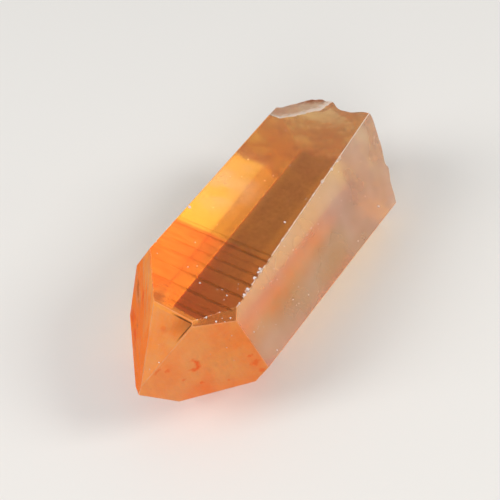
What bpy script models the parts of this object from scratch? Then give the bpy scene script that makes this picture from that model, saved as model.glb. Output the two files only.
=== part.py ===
"""A single natural quartz point, lying on its widest prism face.

The crystal is laid out about its c axis. The axis is Y and the termination points
towards -Y, so the place where the three large termination faces meet is the apex, at
(0, 0, 0) of the crystal's own layout. Every flat face is a plane with three numbers:
turn, the angle about the axis from straight up towards +X; lean, the angle by which
the face tips towards the termination, 0 on a true prism face; and its distance from
the apex. At the end the whole layout is moved so that the origin is the bottom centre
of the crystal's box.
"""

import math

import bmesh
import bpy
from mathutils import Vector, noise

MM = 0.001

# Driving dimensions, in degrees and metres.
TOP_DISTANCE = 5.0 * MM
BOTTOM_DISTANCE = 8.1 * MM
PRISM_FACES = {
    "top": (0.0, 0.0, TOP_DISTANCE),
    "upper_right": (59.4, -3.16, 7.565 * MM),
    "lower_right": (119.83, 2.08, 8.23 * MM),
    "bottom": (180.0, 0.0, BOTTOM_DISTANCE),
    "lower_left": (-120.0, 0.0, 7.73 * MM),
    "upper_left": (-59.06, 0.26, 8.335 * MM),
}
TERMINATION_FACES = {
    "top_tip": (-2.09, 38.3, 0.0),
    "right_tip": (60.27, 38.64, 0.0),
    "left_tip": (-59.9, 34.93, 0.0),
    "bottom_tip": (180.0, 38.2, 0.95 * MM),
    "lower_left_tip": (-120.0, 38.2, 1.2 * MM),
    "upper_corner": (31.67, 21.65, 2.855 * MM),
    "lower_corner": (150.0, 24.44, 2.685 * MM),
}
UPPER_RIGHT_REAR = (60.99, -1.43, 6.632 * MM)  # the same face, past its slight bend
EDGE_WEAR = 0.06 * MM
EDGE_WEAR_ANGLE = 6.0

STEP_PLACES = (16.65, 16.2, 14.4, 13.0, 11.65, 9.4)  # growth lines, in mm from the apex
LAST_STEP_END = 6.4 * MM
STEP_DEPTH = 0.06 * MM

LEDGE_DEPTH = 0.12 * MM  # where the sunk part of the top tip face is deepest
LEDGE_LENGTH = 2.0 * MM  # from there to where it has risen back to the face
LEDGE_RIM = 0.2 * MM  # what stays at full height along the two edges

BREAK_REACH = 60.0 * MM
BREAK_CELL = 0.42 * MM
BREAK_GRAIN = 0.16 * MM  # height of the small unevenness of the broken end
BREAK_GRAIN_SIZE = 1.9 * MM
RIPPLE_HEIGHT = 0.03 * MM
RIPPLE_LENGTH = 1.5 * MM
# The broken end is where these planes come first: depth on the axis in mm, and the
# slopes with x and with z.
BREAK_FLATS = (
    (41.9, -0.06, -0.03),
    (41.94, -0.30, 0.224),
    (48.7, 1.15, -0.30),
    (41.5, 0.10, 0.33),
)
# Shell-shaped hollows in it: centre x and z, radius and depth, in mm.
BREAK_HOLLOWS = (
    (0.3, 5.3, 3.2, 1.2),
    (-3.0, -1.0, 4.5, 0.9),
    (4.5, -4.5, 3.8, 0.7),
    (3.4, 0.6, 2.6, 0.35),
)

CHIP_CENTRE = Vector((-10.05, 43.7, 22.92)) * MM
CHIP_RADIUS = 20.0 * MM
CHIP_GRAIN = 0.12 * MM
CORNER_CHIPS = (  # centre and radius of small bites, in mm
    ((10.05, 7.9, -3.35), 1.9),
    ((9.35, 6.2, -4.4), 1.6),
    ((5.45, 11.9, 5.35), 0.55),
    ((5.2, 14.4, 5.4), 0.6),
    ((-7.45, 20.4, 5.55), 0.8),
)
BITE_GRAIN = 0.08 * MM

BLANK_SIZE = 120.0 * MM
QUARTZ_ORANGE = (0.86, 0.36, 0.12, 1.0)
QUARTZ_ROUGHNESS = 0.25
QUARTZ_IOR = 1.544
QUARTZ_TRANSMISSION = 0.85


def clear_scene():
    for old in list(bpy.data.objects):
        bpy.data.objects.remove(old, do_unlink=True)


def new_collection(name):
    made = bpy.data.collections.new(name)
    bpy.context.scene.collection.children.link(made)
    return made


def quartz_material():
    made = bpy.data.materials.new("orange quartz")
    made.use_nodes = True
    shader = made.node_tree.nodes["Principled BSDF"]
    shader.inputs["Base Color"].default_value = QUARTZ_ORANGE
    shader.inputs["Metallic"].default_value = 0.0
    shader.inputs["Roughness"].default_value = QUARTZ_ROUGHNESS
    shader.inputs["IOR"].default_value = QUARTZ_IOR
    shader.inputs["Transmission Weight"].default_value = QUARTZ_TRANSMISSION
    return made


def face_plane(turn, lean, distance):
    """The outward normal of a face and its distance from the apex."""
    around = Vector((math.sin(math.radians(turn)), 0.0, math.cos(math.radians(turn))))
    tip = Vector((0.0, -1.0, 0.0))
    lean = math.radians(lean)
    return around * math.cos(lean) + tip * math.sin(lean), distance


def turned_over(plane):
    """The same plane, keeping what lies outside it."""
    return -plane[0], -plane[1]


def add_object(name, bm, collection):
    mesh = bpy.data.meshes.new(name)
    bm.to_mesh(mesh)
    bm.free()
    made = bpy.data.objects.new(name, mesh)
    collection.objects.link(made)
    return made


def add_cutter(name, bm, collection):
    bmesh.ops.recalc_face_normals(bm, faces=bm.faces)
    made = add_object(name, bm, collection)
    made.hide_render = True
    made.display_type = "WIRE"
    return made


def cleaved_block(planes):
    """A large block cut back to the inside of every plane."""
    bm = bmesh.new()
    bmesh.ops.create_cube(bm, size=BLANK_SIZE)
    for normal, distance in planes:
        everything = bm.verts[:] + bm.edges[:] + bm.faces[:]
        cut = bmesh.ops.bisect_plane(
            bm,
            geom=everything,
            dist=1e-9,
            plane_co=normal * distance,
            plane_no=normal,
            clear_outer=True,
        )
        rim = [part for part in cut["geom_cut"] if isinstance(part, bmesh.types.BMEdge)]
        if rim:
            bmesh.ops.edgeloop_fill(bm, edges=rim)
    return bm


def carve(crystal, cutter):
    boolean = crystal.modifiers.new(cutter.name, "BOOLEAN")
    boolean.operation = "DIFFERENCE"
    boolean.solver = "EXACT"
    boolean.object = cutter


def add_crystal(collection, material):
    """The prism with its termination, every edge slightly worn."""
    faces = [*PRISM_FACES.values(), *TERMINATION_FACES.values()]
    crystal = add_object("quartz_crystal", cleaved_block([face_plane(*f) for f in faces]), collection)
    crystal.data.materials.append(material)
    wear = crystal.modifiers.new("edge wear", "BEVEL")
    wear.width = EDGE_WEAR
    wear.segments = 1
    wear.limit_method = "ANGLE"
    wear.angle_limit = math.radians(EDGE_WEAR_ANGLE)
    return crystal


def add_face_bend(collection):
    """What lies outside both halves of the upper right face, which bends slightly inwards."""
    front = face_plane(*PRISM_FACES["upper_right"])
    rear = face_plane(*UPPER_RIGHT_REAR)
    bm = cleaved_block([turned_over(front), turned_over(rear)])
    return add_cutter("face_bend", bm, collection)


def add_growth_steps(collection):
    """Thin wedges off the top face, each leaving a low riser that faces the termination."""
    up = Vector((0.0, 0.0, 1.0))
    back = Vector((0.0, 1.0, 0.0))
    places = [place * MM for place in STEP_PLACES]
    made = []
    for number, (place, end) in enumerate(zip(places, [*places[1:], LAST_STEP_END])):
        slope = STEP_DEPTH / (place - end)
        tread = (up + back * slope).normalized()
        level = tread.dot(Vector((0.0, place, TOP_DISTANCE - STEP_DEPTH)))
        bm = cleaved_block([(-tread, -level), (back, place)])
        made.append(add_cutter(f"growth_step_{number + 1}", bm, collection))
    return made


def rim_wall(face, neighbour, inset):
    """A wall square to a face, that runs beside the edge which it shares with its neighbour."""
    across = neighbour[0].dot(face[0])
    sideways = neighbour[0] - face[0] * across
    edge = (neighbour[1] - across * face[1]) / sideways.length
    return sideways.normalized(), edge - inset


def add_tip_ledge(collection):
    """The sunk part of the top tip face: deepest at its right corner, rising to the left."""
    face = face_plane(*TERMINATION_FACES["top_tip"])
    upper = rim_wall(face, face_plane(*PRISM_FACES["top"]), LEDGE_RIM)
    right = rim_wall(face, face_plane(*TERMINATION_FACES["right_tip"]), LEDGE_RIM)
    skew = upper[0].dot(right[0])
    along_upper = (upper[1] - skew * right[1]) / (1.0 - skew * skew)
    along_right = (right[1] - skew * upper[1]) / (1.0 - skew * skew)
    corner = face[0] * face[1] + upper[0] * along_upper + right[0] * along_right
    towards = (upper[0] + right[0]).normalized()
    floor = (face[0] + towards * LEDGE_DEPTH / LEDGE_LENGTH).normalized()
    sunk = floor.dot(corner - face[0] * LEDGE_DEPTH)
    bm = cleaved_block([(-floor, -sunk), upper, right])
    return add_cutter("tip_ledge", bm, collection)


def break_depth(x, z):
    """Where the broken end lies along the axis, at one place across it."""
    depth = min(level * MM + slope_x * x + slope_z * z for level, slope_x, slope_z in BREAK_FLATS)
    for centre_x, centre_z, radius, hollow in BREAK_HOLLOWS:
        out = math.hypot(x - centre_x * MM, z - centre_z * MM)
        inside = max(0.0, 1.0 - (out / (radius * MM)) ** 2)
        ripple = RIPPLE_HEIGHT * math.sin(2 * math.pi * out / RIPPLE_LENGTH)
        depth -= hollow * MM * inside * inside + ripple * inside
    place = Vector((x, z, 0.0)) / BREAK_GRAIN_SIZE
    return depth + BREAK_GRAIN * noise.noise(place)


def add_break(collection):
    """Everything past the broken end, whose face is a grid shaped by the bowls."""
    across = 24.0 * MM
    cells = round(across / BREAK_CELL)
    bm = bmesh.new()
    bmesh.ops.create_grid(bm, x_segments=cells, y_segments=cells, size=across / 2)
    for vertex in bm.verts:
        x, z = vertex.co.x, vertex.co.y
        vertex.co = (x, break_depth(x, z), z)
    far = bmesh.ops.extrude_face_region(bm, geom=bm.faces[:])
    for part in far["geom"]:
        if isinstance(part, bmesh.types.BMVert):
            part.co.y = BREAK_REACH
    return add_cutter("broken_end", bm, collection)


def rough_ball(centre, radius, grain, detail):
    bm = bmesh.new()
    bmesh.ops.create_icosphere(bm, subdivisions=detail, radius=radius)
    for vertex in bm.verts:
        bump = noise.noise((vertex.co + centre) / (8.0 * grain))
        vertex.co = vertex.co * (1.0 + grain * bump / radius) + centre
    return bm


def add_rear_chip(collection):
    """The wide shallow scoop between the top face and the broken end."""
    bm = rough_ball(CHIP_CENTRE, CHIP_RADIUS, CHIP_GRAIN, 6)
    return add_cutter("rear_chip", bm, collection)


def add_corner_chips(collection):
    made = []
    for number, (centre, radius) in enumerate(CORNER_CHIPS):
        bm = rough_ball(Vector(centre) * MM, radius * MM, BITE_GRAIN, 3)
        made.append(add_cutter(f"corner_chip_{number + 1}", bm, collection))
    return made


def add_frame(crystal, cutters, collection):
    """An empty that brings the bottom centre of the crystal's box to the origin."""
    frame = bpy.data.objects.new("crystal_frame", None)
    collection.objects.link(frame)
    graph = bpy.context.evaluated_depsgraph_get()
    corners = [Vector(corner) for corner in crystal.evaluated_get(graph).bound_box]
    low = [min(corner[axis] for corner in corners) for axis in range(3)]
    high = [max(corner[axis] for corner in corners) for axis in range(3)]
    frame.location = (-(low[0] + high[0]) / 2, -(low[1] + high[1]) / 2, -low[2])
    for made in [crystal, *cutters]:
        made.parent = frame


def main():
    clear_scene()
    parts = new_collection("tangerine_quartz_crystal")
    helpers = new_collection("cutters")
    helpers.hide_render = True
    crystal = add_crystal(parts, quartz_material())
    cutters = [
        add_face_bend(helpers),
        *add_growth_steps(helpers),
        add_tip_ledge(helpers),
        add_break(helpers),
        add_rear_chip(helpers),
        *add_corner_chips(helpers),
    ]
    for cutter in cutters:
        carve(crystal, cutter)
    add_frame(crystal, cutters, parts)


main()
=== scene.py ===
import math
import random
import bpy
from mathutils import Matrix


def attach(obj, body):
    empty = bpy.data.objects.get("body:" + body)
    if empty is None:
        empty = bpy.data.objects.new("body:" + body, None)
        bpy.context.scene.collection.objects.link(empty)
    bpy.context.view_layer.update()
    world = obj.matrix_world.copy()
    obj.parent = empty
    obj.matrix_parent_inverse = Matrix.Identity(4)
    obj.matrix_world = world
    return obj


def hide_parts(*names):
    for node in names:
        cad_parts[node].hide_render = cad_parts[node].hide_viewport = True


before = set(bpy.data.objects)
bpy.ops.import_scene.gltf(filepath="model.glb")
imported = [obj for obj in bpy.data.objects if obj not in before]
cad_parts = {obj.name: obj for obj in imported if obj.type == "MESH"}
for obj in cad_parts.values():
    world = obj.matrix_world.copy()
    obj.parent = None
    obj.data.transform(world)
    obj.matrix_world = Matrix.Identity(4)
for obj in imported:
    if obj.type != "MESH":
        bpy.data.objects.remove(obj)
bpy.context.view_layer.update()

from types import SimpleNamespace

import bmesh
import bpy
from mathutils import Matrix, Vector, noise

mm = 0.001  # lengths are in mm and angles in degrees, where nothing else is said
tipWay = Vector((0.0, -1.0, 0.0))  # along the c axis, towards the faceted tip

# Each flat face of the crystal is a plane: the turn about the c axis from straight up
# towards +X, how far it leans towards the tip, both in degrees, and its distance from
# the apex in mm. The apex, where the three large tip faces meet, is the layout's origin.
crystal = {
    "prism": {
        "top": (0.0, 0.0, 5.0),
        "upperRight": (59.4, -3.16, 7.565),
        "lowerRight": (119.83, 2.08, 8.23),
        "bottom": (180.0, 0.0, 8.1),
        "lowerLeft": (-120.0, 0.0, 7.73),
        "upperLeft": (-59.06, 0.26, 8.335),
    },
    "tip": {
        "topTip": (-2.09, 38.3, 0.0),
        "rightTip": (60.27, 38.64, 0.0),
        "leftTip": (-59.9, 34.93, 0.0),
        "bottomTip": (180.0, 38.2, 0.95),
        "lowerLeftTip": (-120.0, 38.2, 1.2),
        "upperCorner": (31.67, 21.65, 2.855),
        "lowerCorner": (150.0, 24.44, 2.685),
    },
    "upperRightRear": (60.99, -1.43, 6.632),  # the same prism face behind its slight bend
    "blankSize": 120.0,
    "cutTolerance": 1e-9,
    "edgeWear": 0.06,
    "edgeWearSegments": 2,
    "edgeWearAngle": 6.0,
    "sharpAngle": 38.0,  # smoothly shaded breaks keep their edges past this, degrees
    "layoutToFrame": (0.1759, -20.7917, 8.1),  # where the apex sits in the frame, mm
}


def facePlane(turn, lean, distance):
    around = Vector((math.sin(math.radians(turn)), 0.0, math.cos(math.radians(turn))))
    lean = math.radians(lean)
    return around * math.cos(lean) + tipWay * math.sin(lean), distance * mm


prismPlanes = {name: facePlane(*face) for name, face in crystal["prism"].items()}
tipPlanes = {name: facePlane(*face) for name, face in crystal["tip"].items()}
allPlanes = {**prismPlanes, **tipPlanes}
rearPlane = facePlane(*crystal["upperRightRear"])
layoutToFrame = Vector(crystal["layoutToFrame"]) * mm


def turnedOver(plane):
    return -plane[0], -plane[1]


def linkedObject(name, mesh):
    made = bpy.data.objects.new(name, mesh)
    bpy.context.scene.collection.objects.link(made)
    return made


def objectFromBmesh(name, bm, material=None):
    mesh = bpy.data.meshes.new(name)
    bm.to_mesh(mesh)
    bm.free()
    if material:
        mesh.materials.append(material)
    return linkedObject(name, mesh)


def evaluatedMesh(made):
    graph = bpy.context.evaluated_depsgraph_get()
    return bpy.data.meshes.new_from_object(made.evaluated_get(graph), depsgraph=graph)


def cleavedBlock(planes):
    bm = bmesh.new()
    bmesh.ops.create_cube(bm, size=crystal["blankSize"] * mm)
    for normal, distance in planes:
        everything = bm.verts[:] + bm.edges[:] + bm.faces[:]
        cut = bmesh.ops.bisect_plane(
            bm, geom=everything, dist=crystal["cutTolerance"], plane_co=normal * distance,
            plane_no=normal, clear_outer=True)
        rim = [part for part in cut["geom_cut"] if isinstance(part, bmesh.types.BMEdge)]
        if rim:
            bmesh.ops.edgeloop_fill(bm, edges=rim)
    bmesh.ops.recalc_face_normals(bm, faces=bm.faces)
    return bm


# node tree helpers
def feed(tree, socket, value):  # an output is linked, anything else is set on the socket
    if isinstance(value, bpy.types.NodeSocket):
        tree.links.new(value, socket)
    elif value is not None:
        socket.default_value = value


def addNode(tree, kind, inputs=None, **settings):
    made = tree.nodes.new(kind)
    for name, value in settings.items():
        setattr(made, name, value)
    for socket, value in (inputs or {}).items():
        feed(tree, made.inputs[socket], value)
    return made


def maths(tree, operation, *values, clamp=False):
    made = addNode(tree, "ShaderNodeMath", dict(enumerate(values)), operation=operation, use_clamp=clamp)
    return made.outputs[0]


def folded(tree, operation, first, *others, clamp=False):  # all of them, clamped at the last step
    for number, other in enumerate(others):
        first = maths(tree, operation, first, other, clamp=clamp and number == len(others) - 1)
    return first


def product(tree, *values, clamp=False):
    return folded(tree, "MULTIPLY", *values, clamp=clamp)


def total(tree, *values, clamp=False):
    return folded(tree, "ADD", *values, clamp=clamp)


def largest(tree, *values):
    return folded(tree, "MAXIMUM", *values)


def without(tree, value, taken, clamp=False):
    return maths(tree, "SUBTRACT", value, taken, clamp=clamp)


def swing(tree, noiseShare, size):  # a noise about zero, from half the size below to half above
    return product(tree, without(tree, noiseShare, 0.5), size)


def vectorMaths(tree, operation, *values):
    made = addNode(tree, "ShaderNodeVectorMath", dict(enumerate(values)), operation=operation)
    return made.outputs["Value" if operation in ("LENGTH", "DOT_PRODUCT") else "Vector"]


def stretched(tree, vector, length):
    made = addNode(tree, "ShaderNodeVectorMath", {0: vector, "Scale": length}, operation="SCALE")
    return made.outputs[0]


def combined(tree, x=0.0, y=0.0, z=0.0):
    return addNode(tree, "ShaderNodeCombineXYZ", {0: x, 1: y, 2: z}).outputs[0]


def separated(tree, vector):
    return addNode(tree, "ShaderNodeSeparateXYZ", {0: vector}).outputs


def newTree(name, kind, inputs, outputs):  # the tree, what it is given, and what it puts out
    tree = bpy.data.node_groups.new(name, kind)
    for side, sockets in (("OUTPUT", outputs), ("INPUT", inputs)):
        for socketName, socketType in sockets.items():
            tree.interface.new_socket(socketName, in_out=side, socket_type="NodeSocket" + socketType)
    return tree, addNode(tree, "NodeGroupInput").outputs, addNode(tree, "NodeGroupOutput").inputs


def shapeTree(name, values):  # a Geometry Nodes tree, with an input for the mesh and for each value
    kinds = {float: "Float", int: "Int", bpy.types.Material: "Material"}
    inputs = {label: kinds[type(value)] for label, value in values.items()}
    return newTree(name, "GeometryNodeTree", {"Geometry": "Geometry", **inputs}, {"Geometry": "Geometry"})


def grownMesh(host, tree, values):  # runs the tree on the host and keeps only its mesh
    modifier = host.modifiers.new(tree.name, "NODES")
    modifier.node_group = tree
    for item in tree.interface.items_tree:
        if item.name in values:
            modifier[item.identifier] = values[item.name]
    mesh = evaluatedMesh(host)
    host.modifiers.remove(modifier)
    bpy.data.objects.remove(host)
    return mesh


def pointHost(name, places, chained=False, **attributes):  # points in mm, with vectors on them
    mesh = bpy.data.meshes.new(name)
    links = [(number, number + 1) for number in range(len(places) - 1)] if chained else []
    mesh.from_pydata([Vector(place) * mm for place in places], links, [])
    for attribute, vectors in attributes.items():
        flat = [part for vector in vectors for part in vector]
        mesh.attributes.new(attribute, "FLOAT_VECTOR", "POINT").data.foreach_set("vector", flat)
    return linkedObject(name, mesh)


def namedVector(tree, name):
    made = addNode(tree, "GeometryNodeInputNamedAttribute", {"Name": name}, data_type="FLOAT_VECTOR")
    return made.outputs["Attribute"]


def shifted(tree, geometry, offset, selection=None):
    made = addNode(tree, "GeometryNodeSetPosition",
                   {"Geometry": geometry, "Offset": offset, "Selection": selection})
    return made.outputs["Geometry"]


def finishTree(tree, given, result, geometry):  # ends in real meshes with their material
    real = addNode(tree, "GeometryNodeRealizeInstances", {"Geometry": geometry})
    paint = addNode(tree, "GeometryNodeSetMaterial",
                    {"Geometry": real.outputs["Geometry"], "Material": given["Material"]})
    feed(tree, result["Geometry"], paint.outputs["Geometry"])


def copiesOnPoints(tree, given, result, shape, points, **settings):
    copies = addNode(tree, "GeometryNodeInstanceOnPoints",
                     {"Points": points, "Instance": shape, **settings})
    finishTree(tree, given, result, copies.outputs["Instances"])


def ballMesh(tree, detail):
    made = addNode(tree, "GeometryNodeMeshIcoSphere", {"Radius": 1.0, "Subdivisions": detail})
    return made.outputs["Mesh"]


def randomValue(tree, kind, low, high, seed):
    made = addNode(tree, "FunctionNodeRandomValue", data_type=kind)
    enabled = [socket for socket in made.inputs if socket.enabled and socket.name in ("Min", "Max")]
    for socket, value in zip(enabled, (low, high)):
        feed(tree, socket, value)
    feed(tree, made.inputs["Seed"], seed)
    return next(socket for socket in made.outputs if socket.enabled)


# the crystal's body: a block cleaved along every face, its edges slightly worn
surfaceKinds = ("face", "wornEdge", "broken", "scoop", "chip", "bruise", "step", "ledge", "ledgeWall")
kindMaterials = {kind: bpy.data.materials.new("kind_" + kind) for kind in surfaceKinds}


def makeBody():
    made = objectFromBmesh("crystalBody", cleavedBlock(allPlanes.values()))
    for kind in surfaceKinds:
        made.data.materials.append(kindMaterials[kind])
    wear = made.modifiers.new("edge wear", "BEVEL")
    wear.width = crystal["edgeWear"] * mm
    wear.segments = crystal["edgeWearSegments"]
    wear.limit_method = "ANGLE"
    wear.angle_limit = math.radians(crystal["edgeWearAngle"])
    wear.material = surfaceKinds.index("wornEdge")
    return made


body = makeBody()


def carve(cutter):
    boolean = body.modifiers.new(cutter.name, "BOOLEAN")
    boolean.operation = "DIFFERENCE"
    boolean.solver = "EXACT"
    boolean.object = cutter
    boolean.material_mode = "TRANSFER"
    cutter.hide_render = True


# the slight bend of the upper right face
bend = cleavedBlock([turnedOver(prismPlanes["upperRight"]), turnedOver(rearPlane)])
carve(objectFromBmesh("faceBend", bend, kindMaterials["face"]))
print("body cleaved")

# small bites out of the corners
cornerChips = {
    "bites": (  # centre and radius in mm
        ((10.05, 7.9, -3.35), 1.9),
        ((5.1, 12.15, 5.15), 0.34),
        ((5.4, 10.35, 5.15), 0.30),
        ((4.95, 14.9, 5.15), 0.28),
        ((4.12, 29.1, 5.12), 0.34),
        ((4.06, 31.4, 5.12), 0.36),
        ((4.02, 33.3, 5.12), 0.42),
    ),
    "grain": 0.14,
    "grainSize": 0.4,
    "large": 1.0,  # a bite wider than this has the finer ball
    "detail": 4,
    "largeDetail": 5,
}


def roughBall(centre, radius):
    own = cornerChips
    detail = own["largeDetail"] if radius > own["large"] else own["detail"]
    bm = bmesh.new()
    bmesh.ops.create_icosphere(bm, subdivisions=detail, radius=radius * mm)
    centre = Vector(centre) * mm
    for vertex in bm.verts:
        bump = own["grain"] * noise.noise((vertex.co + centre) / mm / own["grainSize"])
        vertex.co = vertex.co * (1.0 + bump / radius) + centre
    return bm


for number, bite in enumerate(cornerChips["bites"]):
    carve(objectFromBmesh(f"cornerChip{number + 1}", roughBall(*bite), kindMaterials["chip"]))
print("chips cut")

# along the ridges: small bites, then ragged wear
allPlanes["rearUpperRight"] = rearPlane


def ridgePoint(first, second, along):  # where two faces meet, at a distance along the axis
    first, second = allPlanes[first], allPlanes[second]
    rows = Matrix((first[0], second[0], (0.0, 1.0, 0.0)))
    return rows.inverted() @ Vector((first[1], second[1], along * mm))


def ridgeWay(first, second):  # straight out of the ridge
    return (allPlanes[first][0] + allPlanes[second][0]).normalized()


ridgeNibbles = {
    "ridges": (  # the two faces that meet there, from and to along the axis in mm, nibble spacing
        ("top", "upperRight", 10.2, 16.5, 0.55),
        ("top", "upperRight", 17.0, 29.5, 2.1),
        ("top", "upperLeft", 13.0, 34.0, 2.6),
        ("top", "upperCorner", 6.6, 9.0, 0.6),
    ),
    "smallest": 0.07,
    "largest": 0.24,
    "stand": 0.62,  # how far a nibble's centre stands off the ridge, in its own radii
    "share": 0.8,
    "jitter": 0.2,  # of the spacing
    "jitterStep": 1.7,
    "turn": 6.28,
    "detail": 3,
    "seed": 11,
}


def makeRidgeNibbles():
    own = ridgeNibbles
    values = {"Smallest": own["smallest"] * mm, "Largest": own["largest"] * mm, "Stand": own["stand"],
              "Share": own["share"], "Seed": own["seed"], "Material": kindMaterials["chip"]}
    tree, given, result = shapeTree("ridgeNibbleTree", values)
    radius = randomValue(tree, "FLOAT", given["Smallest"], given["Largest"], given["Seed"])
    stand = stretched(tree, namedVector(tree, "outward"), product(tree, radius, given["Stand"]))
    kept = addNode(tree, "FunctionNodeRandomValue", {"Probability": given["Share"], "Seed": given["Seed"]},
                   data_type="BOOLEAN")
    turn = randomValue(tree, "FLOAT_VECTOR", (0.0, 0.0, 0.0), (own["turn"],) * 3, given["Seed"])
    copiesOnPoints(tree, given, result, ballMesh(tree, own["detail"]),
                   shifted(tree, given["Geometry"], stand),
                   Selection=kept.outputs[3], Rotation=turn, Scale=radius)
    places, outwards = [], []
    for first, second, start, end, spacing in own["ridges"]:
        for number in range(round((end - start) / spacing) + 1):
            jitter = noise.noise(Vector((number * own["jitterStep"], start, own["seed"])))
            along = start + number * spacing + jitter * spacing * own["jitter"]
            places.append(ridgePoint(first, second, along) / mm)
            outwards.append(ridgeWay(first, second))
    host = pointHost("ridgeNibbles", places, outward=outwards)
    return linkedObject("ridgeNibbleCutter", grownMesh(host, tree, values))


carve(makeRidgeNibbles())

ridgeWear = {
    "ridges": {  # the two faces that meet there: from and to along the axis, and how deep, mm
        ("top", "upperRight"): (9.7, 29.0, 0.035),
        ("top", "rearUpperRight"): (28.0, 41.5, 0.045),
    },
    "radius": 0.32,
    "spacing": 0.12,
    "grain": 0.18,
    "grainSize": 0.7,
    "grainDetail": 3.0,
    "sides": 12,
    "seed": 4.0,
}


def makeRidgeWear():  # a ragged rod along each ridge
    own = ridgeWear
    values = {"Radius": own["radius"] * mm, "Grain": own["grain"] * mm,
              "Grain Size": own["grainSize"] * mm, "Sides": own["sides"], "Seed": own["seed"],
              "Material": kindMaterials["bruise"]}
    tree, given, result = shapeTree("ridgeWearTree", values)
    grain = addNode(tree, "ShaderNodeTexNoise", noise_dimensions="4D", inputs={
        "Scale": maths(tree, "DIVIDE", 1.0, given["Grain Size"]), "W": given["Seed"],
        "Detail": own["grainDetail"]})
    uneven = swing(tree, grain.outputs["Fac"], given["Grain"])
    ragged = shifted(tree, given["Geometry"], stretched(tree, namedVector(tree, "outward"), uneven))
    line = addNode(tree, "GeometryNodeMeshToCurve", {"Mesh": ragged})
    ring = addNode(tree, "GeometryNodeCurvePrimitiveCircle",
                   {"Resolution": given["Sides"], "Radius": given["Radius"]})
    rod = addNode(tree, "GeometryNodeCurveToMesh", {
        "Curve": line.outputs["Curve"], "Profile Curve": ring.outputs["Curve"], "Fill Caps": True})
    finishTree(tree, given, result, rod.outputs["Mesh"])
    for (first, second), (start, end, depth) in own["ridges"].items():
        count = round((end - start) / own["spacing"]) + 1
        out = ridgeWay(first, second)
        places = [ridgePoint(first, second, start + number * own["spacing"]) / mm
                  + out * (own["radius"] - depth) for number in range(count)]
        host = pointHost(f"{first}_{second}", places, chained=True, outward=[out] * count)
        carve(linkedObject(f"ridgeWear_{second}", grownMesh(host, tree, values)))


makeRidgeWear()
print("ridges worn")

# the broken end
brokenEnd = {
    "reach": 60.0,
    "across": 21.03,  # its rows of cells miss the top and bottom faces
    "cell": 0.15,
    "flats": (  # depth on the axis in mm, slope with x, slope with z
        (41.9, -0.06, -0.03),
        (41.94, -0.30, 0.224),
        (48.7, 1.15, -0.30),
        (41.5, 0.10, 0.33),
    ),
    "hollows": (  # centre x and z, radius and depth, in mm
        (0.3, 5.3, 3.2, 1.2),
        (-3.0, -1.0, 4.5, 0.9),
        (4.5, -4.5, 3.8, 0.7),
        (3.4, 0.6, 2.6, 0.35),
    ),
    "grain": 0.42,
    "grainSize": 2.1,
    "fineGrain": 0.08,
    "fineGrainSize": 0.6,
    "blow": (-5.6, 4.4),  # x and z that the shell-like ripples spread from, mm
    "ripple": 0.08,
    "rippleLength": 1.9,
    "waver": 0.45,
}


def breakDepth(x, z):
    own = brokenEnd
    depth = min(level * mm + slopeX * x + slopeZ * z for level, slopeX, slopeZ in own["flats"])
    for centreX, centreZ, radius, hollow in own["hollows"]:
        out = math.hypot(x - centreX * mm, z - centreZ * mm)
        inside = max(0.0, 1.0 - (out / (radius * mm)) ** 2)
        depth -= hollow * mm * inside * inside
    place = Vector((x, z, 0.0)) / mm
    grain = noise.noise(place / own["grainSize"])
    out = math.dist(place[:2], own["blow"]) / own["rippleLength"]
    depth += own["ripple"] * mm * math.sin(2 * math.pi * (out + own["waver"] * grain))
    depth += own["grain"] * mm * grain
    return depth + own["fineGrain"] * mm * noise.noise(place / own["fineGrainSize"])


def closedSlab(name, cells, size, near, far, kind):  # a grid bent to near(), closed by one at far()
    bm = bmesh.new()
    bmesh.ops.create_grid(bm, x_segments=cells, y_segments=cells, size=size)
    flat = bm.verts[:]
    rim = bmesh.ops.extrude_edge_only(bm, edges=[edge for edge in bm.edges if edge.is_boundary])
    cap = [part for part in rim["geom"] if isinstance(part, bmesh.types.BMEdge)]
    for part in rim["geom"]:
        if isinstance(part, bmesh.types.BMVert):
            part.co = far(part.co.x, part.co.y)
    for vertex in flat:
        vertex.co = near(vertex.co.x, vertex.co.y)
    bmesh.ops.edgeloop_fill(bm, edges=[edge for edge in cap if edge.is_boundary])
    bmesh.ops.recalc_face_normals(bm, faces=bm.faces)
    return objectFromBmesh(name, bm, kindMaterials[kind])


carve(closedSlab(
    "brokenEnd", round(brokenEnd["across"] / brokenEnd["cell"]), brokenEnd["across"] / 2 * mm,
    lambda x, z: Vector((x, breakDepth(x, z), z)),
    lambda x, z: Vector((x, brokenEnd["reach"] * mm, z)), "broken"))

# the scoop between the top face and the broken end
rearScoop = {
    "centre": (-10.05, 43.7, 22.92),  # of the ball that it follows, mm
    "radius": 20.0,
    "towards": (-4.6, 41.6, 4.4),  # the middle of the scoop, mm
    "reach": 6.0,
    "cell": 0.09,
    "grain": 0.14,
    "grainSize": 1.3,
    "fineGrain": 0.04,
    "fineGrainSize": 0.35,
    "shell": 0.012,  # shell-like ripples about one point
    "shellLength": 1.1,
    "shellStart": (-6.5, 44.5, 3.0),
    "lift": 3.0,
}


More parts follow.
